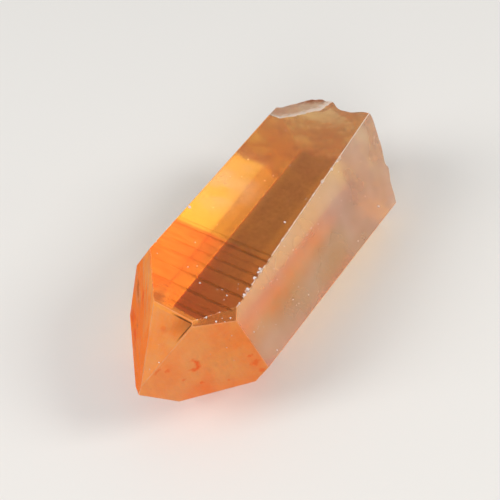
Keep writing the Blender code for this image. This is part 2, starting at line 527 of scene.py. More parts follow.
def makeRearScoop():
    own = rearScoop
    centre = Vector(own["centre"]) * mm
    down = (Vector(own["towards"]) * mm - centre).normalized()
    side = down.cross(tipWay).normalized()
    forward = side.cross(down)
    start = Vector(own["shellStart"]) * mm

    def surface(x, y):
        way = (down * own["radius"] * mm + side * x + forward * y).normalized()
        place = centre + way * own["radius"] * mm
        rough = own["grain"] * noise.noise(place / mm / own["grainSize"])
        rough += own["fineGrain"] * noise.noise(place / mm / own["fineGrainSize"])
        out = (place - start).length / mm
        rough += own["shell"] * math.sin(2 * math.pi * out / own["shellLength"])
        return place + way * rough * mm

    def back(x, y):
        return centre + down * (own["radius"] - own["lift"]) * mm + side * x + forward * y

    cells = round(2 * own["reach"] / own["cell"])
    return closedSlab("rearScoop", cells, own["reach"] * mm, surface, back, "scoop")


carve(makeRearScoop())
print("broken end and scoop ready")

# growth lines across the top face: low risers that face the tip
growthSteps = {
    "places": (  # distance from the apex along the axis in mm, and each riser's share of the depth
        (17.2, 0.7), (16.4, 1.0), (15.35, 0.4), (14.25, 0.8), (12.9, 1.0), (11.15, 1.1), (9.35, 1.0),
        (8.25, 0.35), (7.45, 0.8),
    ),
    "end": 6.5,
    "gap": 0.03,
    "depth": 0.075,
    "width": 30.0,
    "clearance": 1.5,
    "taper": (0.55, 0.05),  # share of the depth on the axis, and its gain per mm towards +X
    "lineShade": {  # painted shade: the dark line at each riser, which fades towards -X
        "halfWidth": 0.27, "shift": 0.1, "wander": 0.25, "share": 0.55, "fade": (-2.6, 1.2),
        "least": 0.06, "strongLines": 2, "leastOfStrong": 0.35,  # the first lines fade less
    },
}


def makeGrowthSteps():
    own = growthSteps
    values = {"Width": own["width"] * mm, "Depth": own["depth"] * mm,
              "Clearance": own["clearance"] * mm, "Taper": own["taper"][0],
              "Taper Gain": own["taper"][1] / mm, "Material": kindMaterials["step"]}
    tree, given, result = shapeTree("growthStepTree", values)
    half = product(tree, given["Clearance"], 0.5)
    block = addNode(tree, "GeometryNodeMeshCube",
                    {"Size": combined(tree, given["Width"], 1.0, given["Clearance"])})
    moved = addNode(tree, "GeometryNodeTransform", {
        "Geometry": block.outputs["Mesh"], "Translation": combined(tree, 0.0, -0.5, half)})
    x, y, z = separated(tree, addNode(tree, "GeometryNodeInputPosition").outputs[0])
    fall = product(tree, total(tree, y, 1.0), given["Depth"])
    fall = product(tree, fall, total(tree, product(tree, x, given["Taper Gain"]), given["Taper"]))
    tread = shifted(tree, moved.outputs["Geometry"], combined(tree, z=product(tree, fall, -1.0)),
                    maths(tree, "LESS_THAN", z, half))
    copiesOnPoints(tree, given, result, tread, given["Geometry"], Scale=namedVector(tree, "reach"))
    starts = [start for start, share in own["places"]]
    reaches = [start - end - own["gap"] for start, end in zip(starts, [*starts[1:], own["end"]])]
    host = pointHost(
        "growthSteps",
        [(0.0, start, crystal["prism"]["top"][2]) for start in starts],
        reach=[(1.0, reach * mm, share) for reach, (start, share) in zip(reaches, own["places"])])
    return linkedObject("growthStepCutter", grownMesh(host, tree, values))


carve(makeGrowthSteps())
print("growth lines cut")

# the sunk part of the top tip face
tipLedge = {
    "depth": 0.20,
    "length": 2.2,
    "rim": 0.2,
    "wallSlope": 0.6,
    "floorCosine": 0.9,  # a face of the cutter that is turned further than this is a wall
    "rimShade": {  # painted shade: the dark line at its rim and the shade inside; distances from the rim, mm
        "middle": 0.04, "line": (0.05, 0.13), "lineFade": (-2.6, -1.2), "shadeFade": (-2.4, 0.0),
        "shade": 0.42,
    },
}


def rimWall(face, neighbour, inset):
    across = neighbour[0].dot(face[0])
    sideways = neighbour[0] - face[0] * across
    edge = (neighbour[1] - across * face[1]) / sideways.length
    return sideways.normalized(), edge - inset


def makeTipLedge():
    face = tipPlanes["topTip"]
    upper = rimWall(face, prismPlanes["top"], tipLedge["rim"] * mm)
    right = rimWall(face, tipPlanes["rightTip"], tipLedge["rim"] * mm)
    skew = upper[0].dot(right[0])
    alongUpper = (upper[1] - skew * right[1]) / (1.0 - skew * skew)
    alongRight = (right[1] - skew * upper[1]) / (1.0 - skew * skew)
    corner = face[0] * face[1] + upper[0] * alongUpper + right[0] * alongRight
    towards = (upper[0] + right[0]).normalized()
    floor = (face[0] + towards * tipLedge["depth"] / tipLedge["length"]).normalized()
    sunk = floor.dot(corner - face[0] * tipLedge["depth"] * mm)
    walls = []
    for way, edge in (upper, right):
        leaning = (way - face[0] * tipLedge["wallSlope"]).normalized()
        walls.append((leaning, leaning.dot(face[0] * face[1] + way * edge)))
    block = cleavedBlock([(-floor, -sunk), *walls])
    for side in block.faces:
        side.material_index = 0 if abs(side.normal.dot(floor)) > tipLedge["floorCosine"] else 1
    made = objectFromBmesh("tipLedge", block, kindMaterials["ledge"])
    made.data.materials.append(kindMaterials["ledgeWall"])
    return made


carve(makeTipLedge())
print("tip ledge cut")

# one mesh, with how each face is finished
finishChannels = {  # each mesh attribute carries three of the shares that a face's finish names
    "cover": ("coat", "veil", "white"),  # iron-stained skin, pale haze, bruised or dusty white
    "polish": ("frost", "streak", "dark"),  # roughness of the clear surface, growth streaks, dirt and painted shade
    "skin": ("film", "rim", "cloud"),  # orange film, painted highlight on the scoop's upper rim, cloudiness of the rear
}
faceFinish = {
    "top": {"coat": 0.04, "frost": 0.085, "film": 0.9, "cloud": 1.0},
    "upperRight": {"veil": 0.36, "frost": 0.19, "film": 0.15, "cloud": 0.3},
    "lowerRight": {"coat": 0.02, "frost": 0.38, "film": 0.3, "cloud": 0.4},
    "bottom": {"coat": 0.04, "frost": 0.07, "film": 0.1},
    "lowerLeft": {"frost": 0.08, "film": 0.2},
    "upperLeft": {"coat": 0.03, "frost": 0.10, "film": 0.3, "cloud": 0.5},
    "topTip": {"coat": 0.74, "frost": 0.5, "streak": 0.15, "film": 0.8},
    "rightTip": {"coat": 0.64, "veil": 0.05, "frost": 0.55, "streak": 0.1, "film": 0.8},
    "leftTip": {"coat": 0.92, "frost": 0.5, "streak": 1.0, "film": 1.0},
    "bottomTip": {"coat": 0.45, "veil": 0.05, "frost": 0.5, "streak": 0.5, "film": 0.8},
    "lowerLeftTip": {"coat": 0.40, "veil": 0.05, "frost": 0.5, "streak": 0.7, "film": 0.8},
    "upperCorner": {"coat": 0.22, "veil": 0.02, "frost": 0.2, "dark": 0.13, "film": 0.6},
    "lowerCorner": {"coat": 0.95, "frost": 0.5, "streak": 0.2, "film": 0.8},
    "wornEdge": {"coat": 0.62, "white": 0.12, "frost": 0.35, "film": 0.5},
    "broken": {"coat": 0.25, "veil": 0.04, "white": 0.02, "frost": 0.55, "dark": 0.13},
    "scoop": {"veil": 0.34, "white": 0.03, "frost": 0.5, "dark": 0.08, "rim": 1.0},
    "chip": {"white": 0.80, "frost": 0.6},
    "bruise": {"white": 0.90, "frost": 0.5},
    "step": {"coat": 0.02, "frost": 0.085, "film": 0.9},
    # painted shade: the wall of the sunk ledge is painted dark
    "ledgeWall": {"dark": 0.85, "frost": 0.4},
}
ridgeBruise = {"faces": ("top", "upperRight"), "near": 0.12}  # that ridge is bruised white
awayWeight = 0.1  # how much a mm away from a plane counts against a turn away from it


def finishOf(kind, polygon):
    off = {name: abs(polygon.center.dot(normal) - distance)
           for name, (normal, distance) in allPlanes.items()}
    if kind == "wornEdge" and all(off[name] < ridgeBruise["near"] * mm for name in ridgeBruise["faces"]):
        return faceFinish["bruise"]
    if kind in faceFinish:
        return faceFinish[kind]
    turned = {name: 1.0 - polygon.normal.dot(normal) + off[name] / mm * awayWeight
              for name, (normal, distance) in allPlanes.items()}
    nearest = min(turned, key=turned.get)
    return faceFinish["upperRight" if nearest == "rearUpperRight" else nearest]


def finishedCrystal():
    mesh = evaluatedMesh(body)
    kinds = [material.name.removeprefix("kind_") for material in mesh.materials]
    shares = {attribute: [] for attribute in finishChannels}
    smooth = []
    for polygon in mesh.polygons:
        kind = kinds[polygon.material_index]
        finish = finishOf(kind, polygon)
        for attribute, names in finishChannels.items():
            shares[attribute].extend(finish.get(name, 0.0) for name in names)
        smooth.append(kind in ("broken", "scoop", "chip"))
    for attribute, values in shares.items():
        mesh.attributes.new(attribute, "FLOAT_VECTOR", "FACE").data.foreach_set("vector", values)
    for used in [body, *(modifier.object for modifier in body.modifiers if modifier.type == "BOOLEAN")]:
        bpy.data.objects.remove(used)
    mesh.set_sharp_from_angle(angle=math.radians(crystal["sharpAngle"]))
    mesh.polygons.foreach_set("use_smooth", smooth)
    mesh.materials.clear()
    mesh.transform(Matrix.Translation(layoutToFrame))
    mesh.name = "quartzPoint"
    return mesh


crystalMesh = finishedCrystal()
print("crystal mesh", len(crystalMesh.polygons), "faces")

# the quartz's finish
quartzLook = {  # lengths in mm; "along" is from the apex along the axis
    "ior": 1.544,
    "transmission": 1.0,
    "absorbColour": (1.0, 0.735, 0.0, 1.0),
    "absorbDensity": 120.0,  # per metre
    "frostSpread": (0.9, 1.1),
    "mostFrost": 0.75,
    "glow": 0.35,  # how much of the skin's light comes through it
    "coverRoughness": 0.6,
    "coverSpecular": 0.06,
    "leastCover": 0.001,
    "colours": {
        "clear": (1.0, 0.97, 0.72, 1.0),
        "film": (1.0, 0.11, 0.02, 1.0),
        "coat": (1.0, 0.48, 0.11, 1.0),
        "deepCoat": (0.95, 0.24, 0.03, 1.0),
        "rust": (0.84, 0.10, 0.012, 1.0),
        "brown": (0.42, 0.12, 0.03, 1.0),
        "dark": (0.16, 0.06, 0.02, 1.0),
        "veil": (0.76, 0.64, 0.57, 1.0),
        "white": (0.97, 0.91, 0.87, 1.0),
        "cream": (0.95, 0.88, 0.79, 1.0),
    },
    "grains": {  # noises: size, detail, roughness, and how far each is squeezed along x, y and z
        "cloud": (3.0, 3.0, 0.5, (1.0, 1.0, 1.0)),
        "fine": (0.5, 5.0, 0.6, (1.0, 1.0, 1.0)),
        "across": (0.35, 4.0, 0.6, (0.12, 1.0, 0.12)),
        "haze": (7.0, 2.0, 0.5, (1.0, 1.0, 1.0)),
        "drift": (3.0, 1.5, 0.5, (1.0, 1.5, 1.0)),
    },
    "streaks": {  # growth streaks from the apex; from "least" up, a face counts as a tip face
        "fineness": 26.0, "length": 4.0, "detail": 4.0, "banding": (-0.5, 0.5), "least": 0.1,
    },
    "topHeight": (12.85, 12.95),  # above this is the top face
    "ragged": 0.8,
    "film": {  # the orange film near the tip, which is gone on the top face's right side
        "end": 16.7, "soft": 0.15, "fade": 0.85, "fadeAcross": (-3.0, 3.5), "fadeHeight": (12.3, 12.9),
        "spread": (0.85, 1.1),
    },
    "rear": {"along": (27.0, 36.0), "frost": 0.15, "veil": 0.03},  # the clear quartz turns cloudy
    "coat": {"cloud": (-0.15, 0.15), "fine": (-0.12, 0.12)},
    "depth": {  # how deep the skin's orange is
        "cloudSpan": (0.35, 0.7), "cloud": (0.0, 0.8), "low": (7.5, 2.5), "atLow": 0.45,
        "left": (12.2, 8.0), "atLeft": (0.1, 0.8),
    },
    "corner": {"centre": (-2.1, -13.5, 13.1), "radius": 1.15, "stretch": 1.3, "soft": 0.5, "share": 0.45},
    "rightCoat": {"along": (9.0, 15.0), "share": 0.6},  # the right face's haze turns orange there
    "edgeStrip": {"width": 0.30, "soft": 0.10, "ragged": 0.3, "share": 0.6},  # on the top's tip end
    "band": {  # painted light: an orange glow of light passing through the crystal, laid on the right face as orange skin; a spot drawn out along the axis
        "centre": (6.75, -3.2, 9.9), "radius": 1.45, "stretch": 5.5, "soft": 0.9, "cloud": (0.6, 1.2),
        "coat": 1.1, "clearer": 0.55,
    },
    "veil": (0.6, 1.4),
    "wisp": {  # of haze in the clear part of the top face
        "centre": (-5.1, 3.0, 13.1), "radius": 3.2, "stretch": 1.2, "soft": 0.9, "drift": (0.2, 1.0),
        "share": 0.24,
    },
    "topHazeAndSheen": {"along": (8.0, 30.0), "share": 0.032},  # pale haze on the top face, partly a painted sheen of reflected light; grows to the rear
    "topGrain": {"span": (0.45, 0.7), "share": 0.06},  # faint dark grain on the top face
    "white": (0.35, 1.25),
    "rim": {"height": (12.52, 12.72), "ragged": 2.4, "share": 0.95},  # painted highlight: the scoop's pale upper rim
    "restingShade": {  # painted shade where the bottom face rests on the floor
        "height": (0.03, 0.10), "share": 0.17, "along": (8.0, 24.0), "least": 0.10, "middle": -1.7,
        "halfWidth": 1.9, "soft": 0.5, "fine": (0.3, 1.0), "cloud": (0.1, 0.6),
    },
    "bump": {"strength": 0.25, "distance": 0.02, "across": 0.6, "fine": 0.3, "frost": (0.55, 0.65)},
}
stains = {  # rust specks: centre in the frame in mm, radius, length over width, strength
    "drops": (
        ((1.08, -19.13, 9.19), 0.15, 2.2, 0.5), ((1.86, -18.4, 9.01), 0.15, 2.0, 0.5),
        ((3.16, -17.75, 7.77), 0.16, 1.2, 0.5), ((4.55, -16.79, 6.88), 0.16, 1.2, 0.6),
        ((6.5, -14.93, 6.46), 0.18, 1.2, 0.5), ((8.17, -12.41, 7.61), 0.28, 1.6, 0.6),
        ((7.6, -12.54, 8.39), 0.20, 1.5, 0.55), ((8.79, -12.36, 6.61), 0.22, 1.4, 0.55),
        ((0.15, -16.07, 11.83), 0.28, 1.3, 0.35), ((2.6, -16.3, 10.3), 0.16, 1.3, 0.35),
    ),
    "streaks": (
        ((-5.3, -12.5, 10.2), 0.26, 3.0, 0.8), ((-6.5, -13.6, 6.9), 0.50, 2.0, 0.7),
        ((-5.9, -14.0, 7.6), 0.28, 3.5, 0.7), ((-4.74, -15.36, 7.19), 0.34, 3.0, 0.7),
        ((-3.9, -16.4, 6.9), 0.22, 4.0, 0.5), ((-4.7, -13.5, 9.9), 0.16, 4.0, 0.45),
    ),
    "brown": (  # deep rust, on the left tip face and along the rear crest
        ((-7.1, -11.3, 8.9), 0.36, 3.4, 0.65), ((-6.0, -12.9, 9.0), 0.24, 3.0, 0.6),
        ((-5.0, -14.6, 8.1), 0.16, 4.5, 0.5),
        ((-4.43, 21.0, 12.1), 0.85, 1.0, 0.8), ((-3.4, 21.2, 12.3), 0.65, 1.0, 0.7),
        ((-5.5, 20.4, 11.8), 0.55, 1.0, 0.5), ((-2.2, 21.0, 12.7), 0.45, 1.0, 0.45),
    ),
    "soft": 0.6,
    "ring": {"centre": (3.59, -16.61, 8.87), "radius": 0.66, "stretch": 1.0, "soft": 0.3},
    "hole": {"centre": (3.48, -16.78, 8.98), "radius": 0.50, "stretch": 1.0, "soft": 0.4},
    "ringShare": 0.8,
    "warp": 0.75,
    "warpSize": 0.6,
}


def mixedColour(tree, share, first, second):
    made = addNode(tree, "ShaderNodeMix", {0: share, 6: first, 7: second}, data_type="RGBA")
    return made.outputs[2]


def ramped(tree, value, low, high, toLow=0.0, toHigh=1.0, smooth=False):
    made = addNode(tree, "ShaderNodeMapRange", {
        "Value": value, "From Min": low, "From Max": high, "To Min": toLow, "To Max": toHigh},
        interpolation_type="SMOOTHSTEP" if smooth else "LINEAR")
    return made.outputs["Result"]


def reached(tree, value, span, toLow=0.0, toHigh=1.0, smooth=False):  # a ramp between two places in mm
    return ramped(tree, value, span[0] * mm, span[1] * mm, toLow, toHigh, smooth)


wideGrain = 0.2  # how far to each side of its middle a noise is drawn out
narrowGrain = 0.15


def spread(tree, grain, limits, near=wideGrain, smooth=False):
    return ramped(tree, grain, 0.5 - near, 0.5 + near, *limits, smooth)


def noiseNode(tree, place, size, detail=3.0, roughness=0.5):  # size in mm
    return addNode(tree, "ShaderNodeTexNoise", {
        "Vector": place, "Scale": 1.0 / (size * mm), "Detail": detail, "Roughness": roughness})


def grouped(tree, group, **values):
    return addNode(tree, "ShaderNodeGroup", values, node_tree=group).outputs[0]


def makeSpotMask():  # one soft spot, drawn out along a direction
    tree, given, result = newTree(
        "spotMask", "ShaderNodeTree",
        {"Place": "Vector", "Centre": "Vector", "Along": "Vector", "Stretch": "Float",
         "Radius": "Float", "Softness": "Float"}, {"Mask": "Float"})
    away = vectorMaths(tree, "SUBTRACT", given["Place"], given["Centre"])
    lengthwise = vectorMaths(tree, "DOT_PRODUCT", away, given["Along"])
    excess = without(tree, 1.0, maths(tree, "DIVIDE", 1.0, given["Stretch"]))
    pull = stretched(tree, given["Along"], product(tree, lengthwise, excess))
    out = vectorMaths(tree, "LENGTH", vectorMaths(tree, "SUBTRACT", away, pull))
    soft = given["Softness"]
    mask = ramped(tree, maths(tree, "DIVIDE", out, given["Radius"]), without(tree, 1.0, soft),
                  total(tree, 1.0, soft), 1.0, 0.0, smooth=True)
    feed(tree, result["Mask"], mask)
    return tree


def makeGrowthStreaks():  # noise drawn out along the lines that run from the apex
    tree, given, result = newTree(
        "growthStreaks", "ShaderNodeTree",
        {"Place": "Vector", "Apex": "Vector", "Fineness": "Float", "Broken": "Float"}, {"Mask": "Float"})
    away = vectorMaths(tree, "SUBTRACT", given["Place"], given["Apex"])
    direction = stretched(tree, vectorMaths(tree, "NORMALIZE", away), given["Fineness"])
    lengthwise = combined(tree, product(tree, vectorMaths(tree, "LENGTH", away), given["Broken"]))
    made = addNode(tree, "ShaderNodeTexNoise", {
        "Vector": vectorMaths(tree, "ADD", direction, lengthwise), "Scale": 1.0,
        "Detail": quartzLook["streaks"]["detail"]})
    feed(tree, result["Mask"], made.outputs["Fac"])
    return tree


spotMask = makeSpotMask()


def spot(tree, place, own, along=tipWay):
    return grouped(tree, spotMask, Place=place, Centre=Vector(own["centre"]) * mm, Along=along,
                   Stretch=own["stretch"], Radius=own["radius"] * mm, Softness=own["soft"])


def surfaceFields(tree):  # what the masks read: places, noises and the shares of each face
    place = addNode(tree, "ShaderNodeTexCoord").outputs["Object"]
    x, y, z = separated(tree, place)
    at = SimpleNamespace(place=place, x=x, z=z, along=without(tree, y, layoutToFrame.y))
    shares = {}
    for attribute, names in finishChannels.items():
        found = addNode(tree, "ShaderNodeAttribute", attribute_name=attribute)
        shares.update(zip(names, separated(tree, found.outputs["Vector"])))
    at.share = SimpleNamespace(**shares)
    for name, (size, detail, roughness, squeeze) in quartzLook["grains"].items():
        squeezed = vectorMaths(tree, "MULTIPLY", place, squeeze)
        setattr(at, name, noiseNode(tree, squeezed, size, detail, roughness).outputs["Fac"])
    at.streaks = grouped(
        tree, makeGrowthStreaks(), Place=place, Apex=layoutToFrame,
        Fineness=quartzLook["streaks"]["fineness"], Broken=1.0 / (quartzLook["streaks"]["length"] * mm))
    banding = spread(tree, at.streaks, quartzLook["streaks"]["banding"], narrowGrain)
    at.banding = product(tree, banding, at.share.streak)
    at.ragged = total(tree, at.along, swing(tree, at.cloud, quartzLook["ragged"] * mm))
    at.onTop = reached(tree, z, quartzLook["topHeight"])
    at.rear = product(tree, reached(tree, at.ragged, quartzLook["rear"]["along"], smooth=True),
                      at.share.cloud)
    at.band = product(tree, spot(tree, place, quartzLook["band"]),
                      spread(tree, at.cloud, quartzLook["band"]["cloud"]))
    return at


def filmMask(tree, at):
    own = quartzLook["film"]
    nearTip = reached(tree, at.ragged, (own["end"] - own["soft"], own["end"] + own["soft"]), 1.0, 0.0)
    fade = product(tree, reached(tree, at.x, own["fadeAcross"], 0.0, own["fade"], smooth=True),
                   reached(tree, at.z, own["fadeHeight"]))
    return product(tree, at.share.film, nearTip, without(tree, 1.0, fade),
                   spread(tree, at.across, own["spread"]), clamp=True)


def frostValue(tree, at):
    frost = total(tree, at.share.frost, product(tree, at.rear, quartzLook["rear"]["frost"]))
    frost = product(tree, frost, spread(tree, at.fine, quartzLook["frostSpread"]))
    return maths(tree, "MINIMUM", frost, quartzLook["mostFrost"])


def stainMasks(tree, at):  # orange rust and deep brown rust
    own = stains
    warp = noiseNode(tree, at.place, own["warpSize"]).outputs["Color"]
    warp = vectorMaths(tree, "SUBTRACT", warp, (0.5, 0.5, 0.5))
    warp = vectorMaths(tree, "MULTIPLY", warp, (own["warp"] * mm,) * 3)
    place = vectorMaths(tree, "ADD", at.place, warp)

    def allSpots(*kinds):
        found = []
        for centre, radius, stretch, strength in (each for kind in kinds for each in own[kind]):
            along = (Vector(centre) * mm - layoutToFrame).normalized()
            drop = {"centre": centre, "radius": radius, "stretch": stretch, "soft": own["soft"]}
            found.append(product(tree, spot(tree, place, drop, along), strength))
        return largest(tree, *found)

    curl = without(tree, spot(tree, place, own["ring"]), spot(tree, place, own["hole"]), clamp=True)
    curl = product(tree, curl, own["ringShare"])
    return largest(tree, allSpots("drops", "streaks"), curl), allSpots("brown")


def ledgeShade(tree, at):  # painted shade: the dark line round the sunk part of the top tip face, and the shade inside it
    own = tipLedge["rimShade"]
    face = tipPlanes["topTip"]
    sides = []
    for neighbour in (prismPlanes["top"], tipPlanes["rightTip"]):
        way, edge = rimWall(face, neighbour, tipLedge["rim"] * mm)
        sides.append(without(tree, vectorMaths(tree, "DOT_PRODUCT", at.place, way),
                             edge + layoutToFrame.dot(way)))
    nearer, farther = largest(tree, *sides), maths(tree, "MINIMUM", *sides)
    outline = maths(tree, "ABSOLUTE", total(tree, nearer, own["middle"] * mm))
    line = product(tree, reached(tree, outline, own["line"], 1.0, 0.0),
                   reached(tree, farther, own["lineFade"], smooth=True))
    inside = product(tree, reached(tree, farther, own["shadeFade"], 0.0, own["shade"], smooth=True),
                     maths(tree, "LESS_THAN", nearer, 0.0))
    return largest(tree, line, inside)


def growthLineShade(tree, at):  # painted shade: dark lines where the growth steps end
    own = growthSteps["lineShade"]
    place = total(tree, at.along, swing(tree, at.cloud, own["wander"] * mm))
    lines = []
    for number, (start, share) in enumerate(growthSteps["places"]):
        away = maths(tree, "ABSOLUTE", without(tree, place, (start - own["shift"]) * mm))
        least = own["leastOfStrong"] if number < own["strongLines"] else own["least"]
        lines.append(product(
            tree, reached(tree, away, (0.0, own["halfWidth"]), min(share, 1.0), 0.0, smooth=True),
            reached(tree, at.x, own["fade"], least, 1.0, smooth=True)))
    return product(tree, largest(tree, *lines), own["share"])


# painted shade: the bottom face is darkened where it rests on the floor
def restingShade(tree, at):
    own = quartzLook["restingShade"]
    aside = maths(tree, "ABSOLUTE", without(tree, at.x, own["middle"] * mm))
    sides = (own["halfWidth"] - own["soft"], own["halfWidth"] + own["soft"])
    return product(tree, reached(tree, at.z, own["height"], own["share"], 0.0),
                   reached(tree, at.along, own["along"], own["least"], 1.0),
                   reached(tree, aside, sides, 1.0, 0.0, smooth=True),
                   total(tree, spread(tree, at.fine, own["fine"], narrowGrain),
                         spread(tree, at.cloud, own["cloud"], narrowGrain)))


# the dark skin: real dirt and grain, with painted shade at the growth lines, the sunk ledge and where the
# bottom face rests
def dirtAndShadeMask(tree, at):
    onTip = ramped(tree, at.share.streak, 0.0, quartzLook["streaks"]["least"])
    own = quartzLook["topGrain"]
    lines = largest(tree, growthLineShade(tree, at), ramped(tree, at.fine, *own["span"], 0.0, own["share"]))
    return largest(tree, at.share.dark, product(tree, onTip, ledgeShade(tree, at)),
                   restingShade(tree, at), product(tree, lines, at.onTop))


def coatMask(tree, at):  # the orange skin
    own = quartzLook
    mottle = total(tree, spread(tree, at.cloud, own["coat"]["cloud"]),
                   spread(tree, at.fine, own["coat"]["fine"], narrowGrain))
    coat = product(tree, at.share.coat, total(tree, 1.0, at.banding, mottle))
    corner = product(tree, spot(tree, at.place, own["corner"]), own["corner"]["share"])
    strip = own["edgeStrip"]
    tipFace, tipDistance = tipPlanes["topTip"]
    behind = without(tree, tipDistance + layoutToFrame.dot(tipFace),
                     vectorMaths(tree, "DOT_PRODUCT", at.place, tipFace))
    behind = total(tree, behind, swing(tree, at.fine, strip["ragged"] * mm))
    edge = reached(tree, behind, (strip["width"] - strip["soft"], strip["width"] + strip["soft"]),
                   strip["share"], 0.0, smooth=True)
    # painted light: the glow band is laid on the right face's haze as orange skin
    onVeil = total(
        tree, reached(tree, at.along, own["rightCoat"]["along"], own["rightCoat"]["share"], 0.0),
        product(tree, at.band, own["band"]["coat"]))
    return total(tree, coat, product(tree, largest(tree, corner, edge), at.onTop),
                 product(tree, onVeil, at.share.veil))


def veilMask(tree, at):  # the pale haze, with a painted sheen on the top face, kept thinner on the painted glow band
    own = quartzLook
    clearer = without(tree, 1.0, product(tree, at.band, own["band"]["clearer"]), clamp=True)
    hazeAndSheen = reached(tree, at.along, own["topHazeAndSheen"]["along"], 0.0, own["topHazeAndSheen"]["share"])
    return total(tree, product(tree, at.share.veil, spread(tree, at.haze, own["veil"]), clearer),
                 product(tree, at.rear, own["rear"]["veil"]), product(tree, hazeAndSheen, at.onTop))


def wispMask(tree, at):
    own = quartzLook["wisp"]
    return product(tree, spot(tree, at.place, own), spread(tree, at.drift, own["drift"], smooth=True),
                   at.onTop, own["share"])


# painted highlight along the scoop's upper rim
def rimHighlightMask(tree, at):
    own = quartzLook["rim"]
    height = total(tree, at.z, swing(tree, at.fine, own["ragged"] * mm))
    return product(tree, at.share.rim, reached(tree, height, own["height"], 0.0, own["share"]))


def coatColour(tree, at):
    own = quartzLook["depth"]
    left = product(tree, at.share.streak, reached(tree, at.z, own["left"], *own["atLeft"]))
    depth = total(tree, ramped(tree, at.cloud, *own["cloudSpan"], *own["cloud"]), at.banding, left,
                  reached(tree, at.z, own["low"], 0.0, own["atLow"]), clamp=True)
    return mixedColour(tree, depth, quartzLook["colours"]["coat"], quartzLook["colours"]["deepCoat"])


def layered(tree, colour, amount, skins):  # each skin lies over the ones before it
    for share, paint in skins:
        under = product(tree, amount, without(tree, 1.0, share))
        covered = total(tree, share, under, clamp=True)
        part = maths(tree, "DIVIDE", share, largest(tree, covered, quartzLook["leastCover"]), clamp=True)
        colour = mixedColour(tree, part, colour, quartzLook["colours"][paint])
        amount = covered
    return colour, amount


def bumpNormal(tree, at):
    own = quartzLook["bump"]
    height = total(tree, product(tree, at.across, own["across"]), product(tree, at.fine, own["fine"]),
                   product(tree, at.streaks, at.share.streak))
    height = product(tree, height, ramped(tree, at.share.frost, *own["frost"], 1.0, 0.0))
    made = addNode(tree, "ShaderNodeBump", {
        "Strength": own["strength"], "Distance": own["distance"] * mm, "Height": height})
    return made.outputs[0]


def makeQuartz():
    own = quartzLook
    made = bpy.data.materials.new("tangerineQuartz")
    made.use_nodes = True
    tree = made.node_tree
    at = surfaceFields(tree)
    rust, brown = stainMasks(tree, at)
    white = product(tree, at.share.white, spread(tree, at.fine, own["white"], narrowGrain))
    coat = coatMask(tree, at)
    # the dark skin holds dirt and painted shade, the veil holds a painted sheen on the top face, and the
    # last cream skin is a painted highlight
    skins = ((veilMask(tree, at), "veil"), (wispMask(tree, at), "cream"), (rust, "rust"),
             (brown, "brown"), (dirtAndShadeMask(tree, at), "dark"), (white, "white"),
             (rimHighlightMask(tree, at), "cream"))
    colour, amount = layered(tree, coatColour(tree, at), maths(tree, "MINIMUM", coat, 1.0), skins)
    normal = bumpNormal(tree, at)

    glass = tree.nodes["Principled BSDF"]
    tint = mixedColour(tree, filmMask(tree, at), own["colours"]["clear"], own["colours"]["film"])
    for name, value in (("IOR", own["ior"]), ("Transmission Weight", own["transmission"]),
                        ("Base Color", tint), ("Roughness", frostValue(tree, at)), ("Normal", normal)):
        feed(tree, glass.inputs[name], value)
    cover = addNode(tree, "ShaderNodeBsdfPrincipled", {
        "IOR": own["ior"], "Roughness": own["coverRoughness"], "Base Color": colour,
        "Specular IOR Level": own["coverSpecular"], "Normal": normal})
    lit = addNode(tree, "ShaderNodeBsdfTranslucent", {"Color": colour})
    skin = addNode(tree, "ShaderNodeMixShader", {0: own["glow"], 1: cover.outputs[0], 2: lit.outputs[0]})
    both = addNode(tree, "ShaderNodeMixShader", {0: amount, 1: glass.outputs[0], 2: skin.outputs[0]})
    absorb = addNode(tree, "ShaderNodeVolumeAbsorption", {
        "Color": own["absorbColour"], "Density": own["absorbDensity"]})
    output = tree.nodes["Material Output"]
    feed(tree, output.inputs["Surface"], both.outputs[0])
    feed(tree, output.inputs["Volume"], absorb.outputs["Volume"])
    return made


crystalMesh.materials.append(makeQuartz())
point = linkedObject("quartzPoint", crystalMesh)
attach(point, "root")
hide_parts("quartz_crystal")

